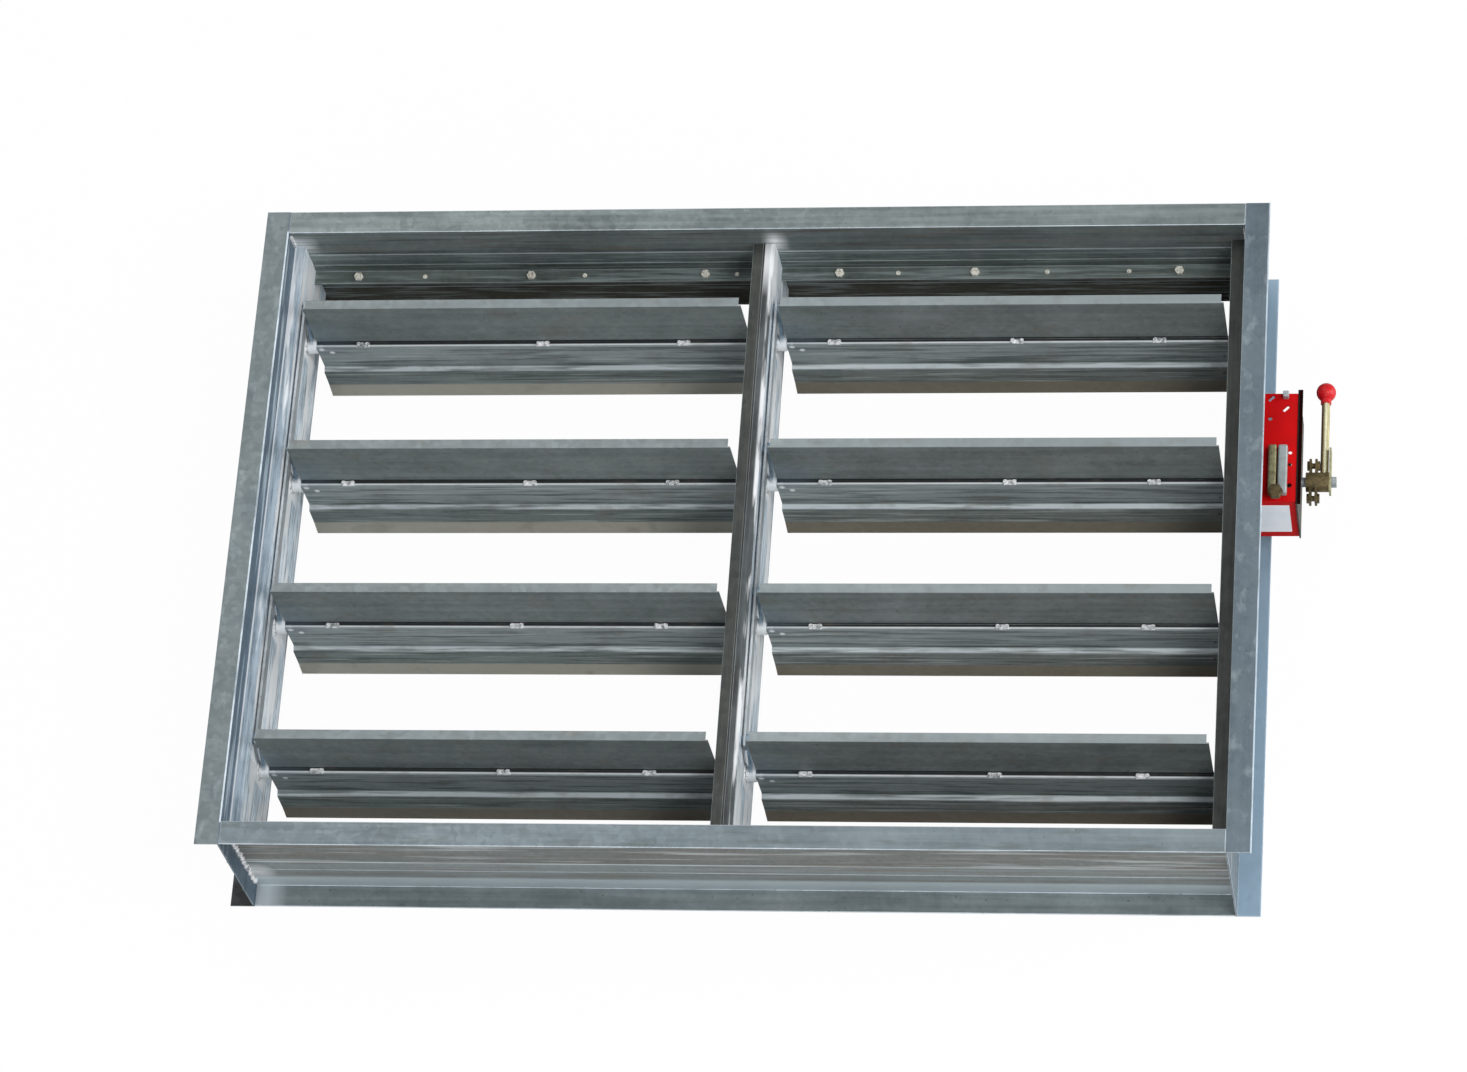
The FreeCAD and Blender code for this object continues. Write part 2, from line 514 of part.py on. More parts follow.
for word, inset, down in (("inner", "Sizes.slot_inner", "Sizes.slot_high"),
                          ("outer", "Sizes.slot_outer", "Sizes.slot_low")):
    slot = doc.addObject("Part::Box", "box_slot_" + word)
    bind(slot, Length="Sizes.slot_long", Width="Sizes.slot_wide", Height="Sizes.sheet + 2")
    place(slot, BOX_OUT + " - " + inset, BOX_TOP + " - " + down, PLATE_BACK, SLANT)
    window.append(slot)
for word, radius, inset, down in (("upper", "Sizes.hole_small", "Sizes.hole_inner", "Sizes.hole_upper"),
                                  ("middle", "Sizes.hole_small", "Sizes.hole_edge", "Sizes.hole_middle"),
                                  ("lower", "Sizes.hole_small", "Sizes.hole_edge", "Sizes.hole_lower"),
                                  ("bottom", "Sizes.hole_large", "Sizes.hole_edge", "Sizes.hole_bottom")):
    window.append(rod("box_hole_" + word, radius, PLATE_BACK, BOX_FRONT + " + 1",
                      x=BOX_OUT + " - " + inset, y=BOX_TOP + " - " + down, turn=TO_Z))
blank = fuse("box_blank", [front, foot, tray])
keep("actuator_bracket", cut("box_sheet", blank, group("box_holes", window)))

# The plate for a label lies on the underside of the box.
keep("actuator_label_plate", block(
    "label_sheet", BOX_OUT + " - Sizes.label_inset - Sizes.label_wide", BOX_OUT + " - Sizes.label_inset",
    BOX_LOW + " - Sizes.label_thick", BOX_LOW,
    BOX_BACK + " + Sizes.label_back", BOX_BACK + " + Sizes.label_back + Sizes.label_deep"))
keep("latch_clip", block(
    "clip_block", CLIP_X, CLIP_X + " + Sizes.clip_wide",
    BOX_TOP + " - Sizes.clip_tall", BOX_TOP,
    BOX_FRONT, BOX_FRONT + " + Sizes.clip_deep"))

# Release latch on the front plate: two upright bars side by side under one nut.
LATCH_LOW = AXIS_Y + " - Sizes.latch_low"
LATCH_TOP = AXIS_Y + " + Sizes.latch_top"
LATCH_FACE = BOX_FRONT + " + Sizes.latch_tall"
LATCH_OUT = BOX_OUT + " - Sizes.latch_inset"
LATCH_MID = LATCH_OUT + " - Sizes.latch_wide"
LATCH_SPLIT = LATCH_MID + " - Sizes.latch_gap"
keep("latch_bar_inner", block("latch_inner", LATCH_SPLIT + " - Sizes.latch_thin", LATCH_SPLIT,
                              LATCH_LOW, LATCH_TOP, BOX_FRONT, LATCH_FACE))
keep("latch_bar_outer", block("latch_outer", LATCH_MID, LATCH_OUT,
                              LATCH_LOW, LATCH_TOP, BOX_FRONT, LATCH_FACE))
keep("latch_nut", hexagon("latch_hex", "Sizes.latch_nut", LATCH_FACE, LATCH_FACE + " + Sizes.latch_cap",
                          x=LATCH_SPLIT, y=AXIS_Y + " - Sizes.latch_up", turn=TO_Z))

SIDE_LOW = BOX_LOW + " - Sizes.side_down"
SIDE_TOP = BOX_TOP + " + Sizes.side_up"
SIDE_FRONT = BOX_FRONT + " + Sizes.side_fore"
wall = block("side_wall", BOX_OUT, SIDE_OUT, SIDE_LOW, SIDE_TOP,
             BOX_BACK, SIDE_FRONT)
side_bore = rod("side_bore", "Sizes.side_hole", BOX_OUT + " - 1", SIDE_OUT + " + 1",
                y=AXIS_Y, z=MID)
keep("actuator_side_plate", cut("side_sheet", wall, side_bore))
keep("actuator_edge_strip", block(
    "side_edge_strip", SIDE_OUT, SIDE_OUT + " + Sizes.side_edge", SIDE_LOW, SIDE_TOP,
    SIDE_FRONT + " - Sizes.sheet", SIDE_FRONT))


# Pieces that turn with the long shaft.
DRUM_OUT = BOX_OUT + " - Sizes.drum_inset"
DRUM_SPLIT = DRUM_OUT + " - Sizes.drum_wide"
DRUM_IN = DRUM_SPLIT + " - Sizes.drum_thin"
LUG_ONE = HUB_IN + " + Sizes.lug_inset"
LUG_TWO = LUG_ONE + " + Sizes.lug_thick + Sizes.lug_apart"
ROD_X = HUB_OUT + " - Sizes.rod_inset - Sizes.rod_rad"


def on_shaft(name, solid, start, end):
    bore = rod(name + "_axis", "Sizes.shaft_rad", start + " - 1", end + " + 1", y=AXIS_Y, z=MID)
    return cut(name, solid, bore)


drum_in = rod("drum_small", "Sizes.drum_small", DRUM_IN, DRUM_SPLIT, y=AXIS_Y, z=MID)
drum_out = rod("drum_large", "Sizes.drum_large", DRUM_SPLIT, DRUM_OUT,
               y=AXIS_Y, z=MID)
keep("spring_drum_inner", on_shaft("drum_inner", drum_in, DRUM_IN, DRUM_SPLIT))
keep("spring_drum_outer", on_shaft("drum_outer", drum_out, DRUM_SPLIT, DRUM_OUT))

barrel = rod("hub_barrel", "Sizes.lever_hub_rad", HUB_IN, HUB_OUT,
             y=AXIS_Y, z=MID)
lugs = [block("hub_lug_" + word, at, at + " + Sizes.lug_thick", AXIS_Y + " - Sizes.lug_reach",
              AXIS_Y + " + Sizes.lug_reach", MID + " - Sizes.lug_half", MID + " + Sizes.lug_half")
        for word, at in (("one", LUG_ONE), ("two", LUG_TWO))]
keep_hub = on_shaft("hub_body", fuse("hub_solid", [barrel] + lugs), HUB_IN, HUB_OUT)
bolt_holes = []
bolts = []
for word, sign in (("up", "+"), ("down", "-")):
    y = "%s %s Sizes.lug_bolt" % (AXIS_Y, sign)
    first = LUG_ONE
    last = LUG_TWO + " + Sizes.lug_thick"
    bolt_holes.append(rod("lug_hole_" + word, "Sizes.lug_bolt_rad", first + " - 1", last + " + 1",
                          y=y, z=MID))
    stem = rod("lug_stem_" + word, "Sizes.lug_bolt_rad", first, last, y=y, z=MID)
    head = hexagon("lug_head_" + word, "Sizes.lug_head", first + " - Sizes.lug_cap", first,
                   y=y, z=MID)
    nut = hexagon("lug_nut_" + word, "Sizes.lug_head", last, last + " + Sizes.lug_cap", y=y, z=MID)
    bolts.append(fuse("lug_bolt_" + word, [stem, head, nut]))
rod_blank = rod("lever_bar", "Sizes.rod_rad", AXIS_Y, AXIS_Y + " + Sizes.ball_up - Sizes.rod_short", x=ROD_X,
                z=MID, turn=TO_Y)
rod_tool = rod("lever_root", "Sizes.lever_hub_rad", HUB_IN, HUB_OUT + " + 1",
               y=AXIS_Y, z=MID)
keep("lever_rod", cut("lever_stick", rod_blank, rod_tool))
keep("lever_hub", cut("hub_drilled", keep_hub, group("lug_holes", bolt_holes)))
keep("hub_bolts", group("lug_bolts", bolts))

# The knob is turned round the rod: a short neck, then a ball in narrow bands, with a socket below.
BANDS = 9
ball = [("0", "-Sizes.rod_short"), ("Sizes.rod_rad", "-Sizes.rod_short"),
        ("Sizes.rod_rad", "-Sizes.neck_long"), ("Sizes.neck_rad", "-Sizes.neck_long"),
        ("Sizes.neck_rad", "-sqrt(Sizes.ball_rad * Sizes.ball_rad - Sizes.neck_rad * Sizes.neck_rad)")]
for band in range(BANDS):
    angle = -40 + band * 130 / BANDS
    ball.append(("Sizes.ball_rad * cos(%g)" % angle, "Sizes.ball_rad * sin(%g)" % angle))
ball.append(("0", "Sizes.ball_rad"))
keep("lever_knob", turned("knob", ball, x=ROD_X, y=AXIS_Y + " + Sizes.ball_up", z=MID))
flag = block("flag_sheet", HUB_OUT, FLAG_OUT,
             AXIS_Y + " - Sizes.flag_down", AXIS_Y + " + Sizes.flag_up",
             MID + " - Sizes.flag_half", MID + " + Sizes.flag_half")
keep("lever_keeper_plate", on_shaft("keeper", flag, HUB_OUT, FLAG_OUT))

doc.recompute()
for item in doc.Objects:
    if "Invalid" in item.State or "Error" in item.State:
        raise RuntimeError("%s did not compute: %s" % (item.Name, item.State))
for node, obj in pieces.items():
    if obj.Shape.isNull() or not obj.Shape.isValid():
        raise RuntimeError("%s has no valid shape" % node)
    obj.Shape.exportStep("parts/%s.step" % node)
print(len(pieces), "pieces")
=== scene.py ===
import json
import math
import bpy
import bmesh
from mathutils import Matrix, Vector


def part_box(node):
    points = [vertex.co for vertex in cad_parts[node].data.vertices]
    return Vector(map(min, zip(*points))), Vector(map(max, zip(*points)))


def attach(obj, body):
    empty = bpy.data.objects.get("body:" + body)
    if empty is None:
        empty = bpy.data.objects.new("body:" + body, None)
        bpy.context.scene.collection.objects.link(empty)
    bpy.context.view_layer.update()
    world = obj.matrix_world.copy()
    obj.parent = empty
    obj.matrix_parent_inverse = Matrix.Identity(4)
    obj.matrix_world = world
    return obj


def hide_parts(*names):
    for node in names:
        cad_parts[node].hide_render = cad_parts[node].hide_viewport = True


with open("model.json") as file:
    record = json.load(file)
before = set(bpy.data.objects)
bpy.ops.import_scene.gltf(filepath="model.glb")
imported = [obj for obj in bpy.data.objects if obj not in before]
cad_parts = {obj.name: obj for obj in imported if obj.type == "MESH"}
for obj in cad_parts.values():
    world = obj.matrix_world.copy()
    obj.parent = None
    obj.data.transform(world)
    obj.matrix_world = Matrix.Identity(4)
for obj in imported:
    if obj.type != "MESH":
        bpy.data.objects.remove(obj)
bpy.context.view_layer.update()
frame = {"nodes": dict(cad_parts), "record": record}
record = frame["record"]
bodyOf = {node: body for body, nodes in record["behaviour"]["bodies"].items() for node in nodes}
slotOf = {item["node"]: item["material_slot"] for item in record["subparts"]}
scene = bpy.context.scene
print("frame loaded:", len(frame["nodes"]), "nodes")


def tone(red, green, blue):
    # a colour as it is read on the screen, 0 to 255, turned into the shader's linear values
    def lin(v):
        v = v / 255
        return v / 12.92 if v <= 0.04045 else ((v + 0.055) / 1.055) ** 2.4
    return (lin(red), lin(green), lin(blue), 1.0)


def join(tree, source, target):
    tree.links.new(source, target)


def mathNode(tree, kind, a, b=None, clamp=False):
    node = tree.nodes.new("ShaderNodeMath")
    node.operation = kind
    node.use_clamp = clamp
    for index, value in enumerate((a, b)):
        if value is None:
            continue
        if isinstance(value, (int, float)):
            node.inputs[index].default_value = value
        else:
            join(tree, value, node.inputs[index])
    return node.outputs[0]


def mixColour(tree, fac, a, b):
    node = tree.nodes.new("ShaderNodeMix")
    node.data_type = "RGBA"
    for socket, value in ((node.inputs[0], fac), (node.inputs[6], a), (node.inputs[7], b)):
        if isinstance(value, (int, float, tuple)):
            socket.default_value = value
        else:
            join(tree, value, socket)
    return node.outputs[2]


def spread(tree, value, low, high, toLow=0.0, toHigh=1.0):
    node = tree.nodes.new("ShaderNodeMapRange")
    join(tree, value, node.inputs[0])
    for index, number in enumerate((low, high, toLow, toHigh), start=1):
        node.inputs[index].default_value = number
    return node.outputs[0]


def noise(tree, place, spec):
    node = tree.nodes.new("ShaderNodeTexNoise")
    join(tree, place, node.inputs["Vector"])
    node.inputs["Scale"].default_value = spec["scale"]
    node.inputs["Detail"].default_value = spec["detail"]
    node.inputs["Roughness"].default_value = spec["rough"]
    return node.outputs["Fac"]


def newGroup(name, inputs, outputs):
    group = bpy.data.node_groups.new(name, "ShaderNodeTree")
    for way, sockets in (("INPUT", inputs), ("OUTPUT", outputs)):
        for label, kind in sockets.items():
            group.interface.new_socket(name=label, in_out=way, socket_type="NodeSocket" + kind)
    entry = group.nodes.new("NodeGroupInput")
    leave = group.nodes.new("NodeGroupOutput")
    return group, entry, leave


def weighted(tree, pairs):
    # adds up values, each times its share
    total = None
    for value, share in pairs:
        part = mathNode(tree, "MULTIPLY", value, share)
        total = part if total is None else mathNode(tree, "ADD", total, part)
    return total


def objectPlace(tree):
    return tree.nodes.new("ShaderNodeTexCoord").outputs["Object"]


def mapped(tree, place):
    # the place drawn out along some axes; the scale is set or joined by the caller
    node = tree.nodes.new("ShaderNodeMapping")
    join(tree, place, node.inputs["Vector"])
    return node.inputs["Scale"], node.outputs["Vector"]


skinLook = {
    "cloud": {"scale": 9.0, "detail": 5.0, "rough": 0.6, "low": 0.34, "high": 0.66, "share": 0.38},
    "streak": {"scale": 6.0, "detail": 4.0, "rough": 0.6, "low": 0.38, "high": 0.62},
    "fine": {"scale": 60.0, "detail": 4.0, "rough": 0.65, "low": 0.3, "high": 0.7, "share": 0.16},
    "speck": {"scale": 210.0, "detail": 2.0, "rough": 0.5, "low": 0.69, "high": 0.74, "tint": (38, 36, 32)},
    "grain": {"share": 0.12, "smoothest": 0.42, "roughest": 0.58},
    "height": {"fine": 0.6, "cloud": 0.8},
}


def spreadNoise(tree, value, spec):
    return spread(tree, value, spec["low"], spec["high"])


def buildZincSkin(look):
    # cloudy mottling, drawn streaks, spangle grains and a fine grain, with small dark specks over them
    group, entry, leave = newGroup(
        "zincSkin",
        {"Pale": "Color", "Dark": "Color", "Stretch": "Vector", "Grain": "Float", "Speck": "Float",
         "Streaky": "Float"},
        {"Color": "Color", "Roughness": "Float", "Height": "Float"})
    place = objectPlace(group)
    stretchScale, stretched = mapped(group, place)
    join(group, entry.outputs["Stretch"], stretchScale)
    cloud = noise(group, place, look["cloud"])
    streak = noise(group, stretched, look["streak"])
    fine = noise(group, place, look["fine"])
    grain = group.nodes.new("ShaderNodeTexVoronoi")
    join(group, place, grain.inputs["Vector"])
    join(group, entry.outputs["Grain"], grain.inputs["Scale"])
    grainTone = group.nodes.new("ShaderNodeSeparateColor")
    join(group, grain.outputs["Color"], grainTone.inputs[0])
    mixed = weighted(group, [(spreadNoise(group, cloud, look["cloud"]), look["cloud"]["share"]),
                             (spreadNoise(group, streak, look["streak"]), entry.outputs["Streaky"]),
                             (grainTone.outputs[0], look["grain"]["share"]),
                             (spreadNoise(group, fine, look["fine"]), look["fine"]["share"])])
    skin = mixColour(group, mixed, entry.outputs["Dark"], entry.outputs["Pale"])
    specks = spreadNoise(group, noise(group, place, look["speck"]), look["speck"])
    specks = mathNode(group, "MULTIPLY", specks, entry.outputs["Speck"], True)
    join(group, mixColour(group, specks, skin, tone(*look["speck"]["tint"])), leave.inputs["Color"])
    roughness = spread(group, grainTone.outputs[1], 0.0, 1.0,
                       look["grain"]["smoothest"], look["grain"]["roughest"])
    join(group, roughness, leave.inputs["Roughness"])
    height = weighted(group, [(fine, look["height"]["fine"]), (cloud, look["height"]["cloud"])])
    join(group, height, leave.inputs["Height"])
    return group


zincGroup = buildZincSkin(skinLook)


def startMaterial(name):
    mat = bpy.data.materials.new(name)
    mat.use_nodes = True
    tree = mat.node_tree
    shader = tree.nodes["Principled BSDF"]
    return mat, tree, shader


def addBump(tree, shader, height, strength, distance):
    bump = tree.nodes.new("ShaderNodeBump")
    bump.inputs["Strength"].default_value = strength
    bump.inputs["Distance"].default_value = distance
    join(tree, height, bump.inputs["Height"])
    join(tree, bump.outputs["Normal"], shader.inputs["Normal"])


def middleOf(node):
    low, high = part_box(node)
    return (low + high) / 2


# The rows repeat upwards in equal steps, so one set of tones serves all the blades.
firstShaft = middleOf("shaft_row_1")
rowStep = firstShaft.y - middleOf("shaft_row_2").y
belowShaft = 0.1  # the share of a step under a shaft that still counts as that shaft's row


def levelsOf(tree):
    # the three object coordinates, facing, which is how far the surface looks up the frame, and R, the
    # height above the nearest blade's shaft
    coords = tree.nodes.new("ShaderNodeTexCoord")
    parts = tree.nodes.new("ShaderNodeSeparateXYZ")
    join(tree, coords.outputs["Object"], parts.inputs[0])
    looks = tree.nodes.new("ShaderNodeSeparateXYZ")
    join(tree, coords.outputs["Normal"], looks.inputs[0])
    steps = mathNode(tree, "DIVIDE", parts.outputs[1], rowStep)
    phase = mathNode(tree, "ADD", steps, belowShaft - firstShaft.y / rowStep)
    phase = mathNode(tree, "SUBTRACT", mathNode(tree, "FRACT", phase), belowShaft)
    height = mathNode(tree, "MULTIPLY", phase, rowStep)
    return {"X": parts.outputs[0], "Y": parts.outputs[1], "Z": parts.outputs[2], "R": height,
            "facing": looks.outputs[1]}


def within(axis, low, high, soft):
    # a stretch of one level, with edges that fade over twice the soft distance
    return {"axis": axis, "low": low, "high": high, "soft": soft}


def around(axis, middle, reach, soft):
    return within(axis, middle - reach, middle + reach, soft)


def above(axis, low, soft):
    return within(axis, low, None, soft)


def below(axis, high, soft):
    return within(axis, None, high, soft)


def band(limits, tint, amount):
    # a plain tone inside the limits
    return {"limits": limits, "tint": tint, "amount": amount}


def vein(limits, stretch, start, full, tint, amount):
    # a drawn pattern inside the limits, or everywhere where there are none; it begins at one value of the
    # noise and is full at the other
    return {"limits": limits, "stretch": stretch, "start": start, "full": full, "tint": tint,
            "amount": amount}


def patch(centre, radius, soft, tint, amount):
    # a round tone about a point, given by two or three of the levels
    return {"centre": centre, "radius": radius, "soft": soft, "tint": tint, "amount": amount}


def bandMask(tree, levels, limits):
    mask = None
    for limit in limits:
        level, soft = levels[limit["axis"]], limit["soft"]
        for edge, before, after in ((limit["low"], 0.0, 1.0), (limit["high"], 1.0, 0.0)):
            if edge is None:
                continue
            side = spread(tree, level, edge - soft, edge + soft, before, after)
            mask = side if mask is None else mathNode(tree, "MULTIPLY", mask, side)
    return mask


veinNoise = {"scale": 1.0, "detail": 3.0, "rough": 0.55}


def veinMask(tree, levels, spec):
    scale, drawn = mapped(tree, objectPlace(tree))
    scale.default_value = spec["stretch"]
    pattern = spread(tree, noise(tree, drawn, veinNoise), spec["start"], spec["full"])
    if not spec["limits"]:
        return pattern
    return mathNode(tree, "MULTIPLY", bandMask(tree, levels, spec["limits"]), pattern)


def patchMask(tree, levels, spec):
    squares = None
    for axis, middle in spec["centre"].items():
        off = mathNode(tree, "SUBTRACT", levels[axis], middle)
        square = mathNode(tree, "MULTIPLY", off, off)
        squares = square if squares is None else mathNode(tree, "ADD", squares, square)
    radius, soft = spec["radius"], spec["soft"]
    return spread(tree, mathNode(tree, "SQRT", squares), radius - soft, radius + soft, 1.0, 0.0)


plainZinc = {"stretch": (1, 1, 1), "grain": 140.0, "speck": 0.5, "streaky": 0.38, "metal": 0.45,
             "bands": [], "veins": [], "patches": []}
zincBump = {"strength": 0.12, "distance": 0.002}


def zincMaterial(name, spec):
    # one galvanised finish, with further tones on its bands, in drawn veins and on its patches
    look = {**plainZinc, **spec}
    mat, tree, shader = startMaterial(name)
    group = tree.nodes.new("ShaderNodeGroup")
    group.node_tree = zincGroup
    group.inputs["Pale"].default_value = tone(*look["pale"])
    group.inputs["Dark"].default_value = tone(*look["dark"])
    for label in ("Stretch", "Grain", "Speck", "Streaky"):
        group.inputs[label].default_value = look[label.lower()]
    levels = levelsOf(tree)
    marks = [(item, bandMask(tree, levels, item["limits"])) for item in look["bands"]]
    marks += [(item, veinMask(tree, levels, item)) for item in look["veins"]]
    marks += [(item, patchMask(tree, levels, item)) for item in look["patches"]]
    colour = group.outputs["Color"]
    for item, mask in marks:
        share = mathNode(tree, "MULTIPLY", mask, item["amount"])
        colour = mixColour(tree, share, colour, tone(*item["tint"]))
    join(tree, colour, shader.inputs["Base Color"])
    join(tree, group.outputs["Roughness"], shader.inputs["Roughness"])
    shader.inputs["Metallic"].default_value = look["metal"]
    addBump(tree, shader, group.outputs["Height"], zincBump["strength"], zincBump["distance"])
    return mat


# Faces of the frame that the painted tones follow
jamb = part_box("frame_left_jamb")
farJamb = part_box("frame_right_jamb")
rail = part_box("left_bearing_rail")
rearFace, frontFace = jamb[0].z, jamb[1].z
inner, farInner, farOuter = jamb[1].x, farJamb[0].x, farJamb[1].x
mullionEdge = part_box("mullion_right_half")[1].x
foreCrease = frontFace - 0.059  # the crease in the channels' webs, behind the front face
rearLine = 0.077  # a painted highlight line across the bottom member's web

alongX = (0.5, 14, 14)
alongY = (14, 0.5, 14)
sheetStretch = (50, 2.5, 50)
fineSpeckle = (30, 30, 30)
# crease and white are the tones of painted highlights, black is the tone of painted shade lines and holes
crease = (222, 231, 234)
white = (252, 254, 255)
black = (26, 28, 28)
soot = (48, 54, 52)
rust = (124, 112, 96)
greyBlue = (128, 138, 144)

downward = below("facing", -0.3, 0.1)
wallFore = [within("Z", foreCrease + 0.002, frontFace - 0.002, 0.001), downward]
wallRear = [below("Z", foreCrease - 0.0017, 0.001), downward]
frontSkin = above("Z", frontFace - 0.0008, 0.0003)
rearSkin = below("Z", rearFace + 0.0035, 0.0005)
railFront = above("Z", rail[1].z - 0.0016, 0.0003)
railBack = below("Z", rail[0].z + 0.002, 0.0003)
railWall = within("Z", rail[0].z + 0.007, rail[1].z - 0.0016, 0.0003)
# pivotGlow is a painted highlight about each pivot
pivotGlow = patch({"R": -0.002, "Z": 0.098}, 0.028, 0.018, white, 0.95)

finishes = {}

finishes["memberZinc"] = {
    "pale": (146, 156, 156), "dark": (88, 98, 97), "stretch": alongX,
    # painted shade: the down-facing rear part of the web, browner behind the stop and darker still near the
    # rear flange
    "bands": [band([below("Z", 0.099, 0.001), downward], (104, 106, 92), 0.85),
              band([below("Z", 0.060, 0.001), downward], (70, 66, 54), 0.8),
              # painted highlights: a bright line along the crease, and white painted reflections on the
              # web's underside above the mullion and at the left corner
              band([around("Z", foreCrease, 0.0017, 0.0005)], crease, 0.85),
              band([around("X", mullionEdge, 0.010, 0.008), around("Z", 0.165, 0.017, 0.011), downward],
                   white, 0.95),
              band([around("X", inner + 0.006, 0.016, 0.011), around("Z", 0.166, 0.016, 0.011), downward],
                   white, 0.95)],
    "veins": [vein(wallFore, (7, 120, 120), 0.5, 0.64, rust, 0.4),
              vein(wallFore, (5, 90, 170), 0.52, 0.66, soot, 0.5),
              vein(wallRear, (10, 150, 210), 0.5, 0.62, (186, 202, 202), 0.45),
              vein([frontSkin], (8, 50, 50), 0.54, 0.68, (96, 106, 106), 0.4)]}

lowerFore = [within("Z", rearLine + 0.002, frontFace - 0.002, 0.002), downward]
finishes["lowerZinc"] = {
    "pale": (154, 164, 166), "dark": (98, 108, 109), "stretch": alongX,
    # painted shade and light in strips across the web's depth: darker towards the front, a painted highlight
    # along rearLine, lighter towards the rear edge, and a painted highlight on the rear flange near the
    # inner corner
    "bands": [band(lowerFore, (108, 110, 104), 0.65),
              band([around("Z", rearLine, 0.0015, 0.0006), downward], crease, 0.7),
              band([within("Z", 0.026, rearLine - 0.003, 0.003), downward], (142, 148, 146), 0.6),
              band([within("Z", 0.002, 0.030, 0.003), downward], (198, 210, 214), 0.8),
              band([around("X", inner + 0.011, 0.017, 0.012), rearSkin], (220, 228, 232), 0.75),
              band([frontSkin], (104, 120, 128), 0.4)],
    "veins": [vein([within("Z", 0.030, frontFace - 0.002, 0.003), downward], (6, 150, 160), 0.5, 0.64,
                   (118, 104, 92), 0.45),
              vein(lowerFore, (5, 100, 130), 0.52, 0.66, (214, 220, 220), 0.5),
              vein([frontSkin], (9, 60, 60), 0.54, 0.68, (92, 98, 96), 0.5)],
    # a painted highlight near the inner corner
    "patches": [patch({"X": inner + 0.008, "Z": 0.045}, 0.015, 0.013, white, 0.75)]}

finishes["jambZinc"] = {
    "pale": (126, 140, 148), "dark": (80, 92, 100), "stretch": alongY, "streaky": 0.16,
    # painted highlights: a faint line along the crease, a bright line along the right jamb's outer edge and
    # one along the left jamb's inner edge
    "bands": [band([around("Z", foreCrease, 0.0013, 0.0006)], crease, 0.25),
              band([above("X", farOuter - 0.0015, 0.0004)], (214, 230, 242), 0.85),
              band([within("X", inner - 0.0004, inner + 0.0025, 0.0002)], (94, 116, 134), 0.7),
              band([above("X", farInner + 0.0025, 0.0003), rearSkin], (164, 192, 212), 0.7),
              band([below("X", inner - 0.0016, 0.0003), frontSkin], (128, 136, 132), 0.55),
              band([within("X", inner - 0.002, inner + 0.001, 0.0002), around("Y", 0.0, 0.402, 0.001),
                    frontSkin], (232, 244, 252), 0.75),
              # painted shadow: a near-black patch on the left jamb's rear flange at the lower left
              band([below("X", inner - 0.0005, 0.0003), below("Y", -0.385, 0.02), rearSkin],
                   (38, 37, 34), 0.92)],
    "veins": [vein([frontSkin], (34, 20, 34), 0.48, 0.66, (104, 116, 122), 0.55),
              vein([frontSkin], (60, 36, 60), 0.56, 0.7, (166, 176, 180), 0.35),
              # painted highlight streaks along the left jamb's inner edge near the front
              vein([within("X", inner - 0.0006, inner + 0.003, 0.0002),
                    within("Z", 0.15, frontFace - 0.002, 0.004)],
                   (60, 5, 60), 0.52, 0.64, (230, 244, 252), 0.6)]}

# The left rail faces the light: a lit copy of the rail finish with painted highlights, its pale streaks,
# white veins, a white line along its front edge, a painted highlight about each pivot and one near the top
finishes["railZinc"] = {
    "pale": (228, 244, 255), "dark": (46, 66, 84), "stretch": sheetStretch, "metal": 0.15, "streaky": 0.85,
    "bands": [band([railFront], (120, 136, 148), 0.6),
              band([railBack], greyBlue, 0.8),
              band([railFront, within("X", inner - 0.001, inner + 0.0022, 0.0003)], white, 0.85)],
    "veins": [vein([railFront], (60, 7, 60), 0.54, 0.64, white, 0.85),
              vein([railWall], (46, 8, 46), 0.48, 0.56, white, 0.9)],
    "patches": [pivotGlow, patch({"Y": 0.376, "Z": 0.120}, 0.034, 0.024, white, 0.8)]}

# The mullion's right half, a lit copy of the rail finish: its front face darker, with dark streaks of
# painted shade along the seam between the halves, and painted highlights in white streaks near its right
# front edge and on its side wall, about each pivot and near the top
finishes["mullionBright"] = {
    "pale": (228, 244, 255), "dark": (50, 68, 84), "stretch": sheetStretch, "metal": 0.15, "streaky": 0.8,
    "bands": [band([railFront], (58, 63, 62), 0.95),
              band([railBack], greyBlue, 0.8)],
    "veins": [vein([railFront, around("X", 0.001, 0.005, 0.002)], (70, 12, 70),
                   0.42, 0.6, (34, 36, 34), 0.85),
              vein([railFront, within("X", mullionEdge - 0.0055, mullionEdge + 0.001, 0.001)], (90, 9, 90),
                   0.46, 0.58, white, 0.8),
              vein([railWall], (46, 8, 46), 0.46, 0.55, white, 0.9)],
    "patches": [pivotGlow, patch({"Y": 0.376, "Z": 0.150}, 0.030, 0.022, white, 0.8)]}

# a shaded copy of the rail finish for the right rail and the mullion's left half, which face away from the
# light: painted shade, darker still on the front
finishes["railShaded"] = {
    "pale": (92, 92, 82), "dark": (34, 37, 34), "stretch": sheetStretch, "streaky": 0.6,
    "bands": [band([railFront], (56, 61, 59), 0.75)]}

# the core between the mullion's halves is dark, as painted shade in the seam
finishes["mullionZinc"] = {"pale": (70, 72, 68), "dark": (34, 36, 34), "stretch": (40, 0.8, 40)}

# the stops are darker than the frame's zinc, partly as painted shade inside the frame
finishes["stopZinc"] = {
    "pale": (132, 142, 138), "dark": (66, 74, 70), "stretch": alongX,
    "veins": [vein([], (8, 140, 200), 0.5, 0.62, (186, 200, 200), 0.4)]}

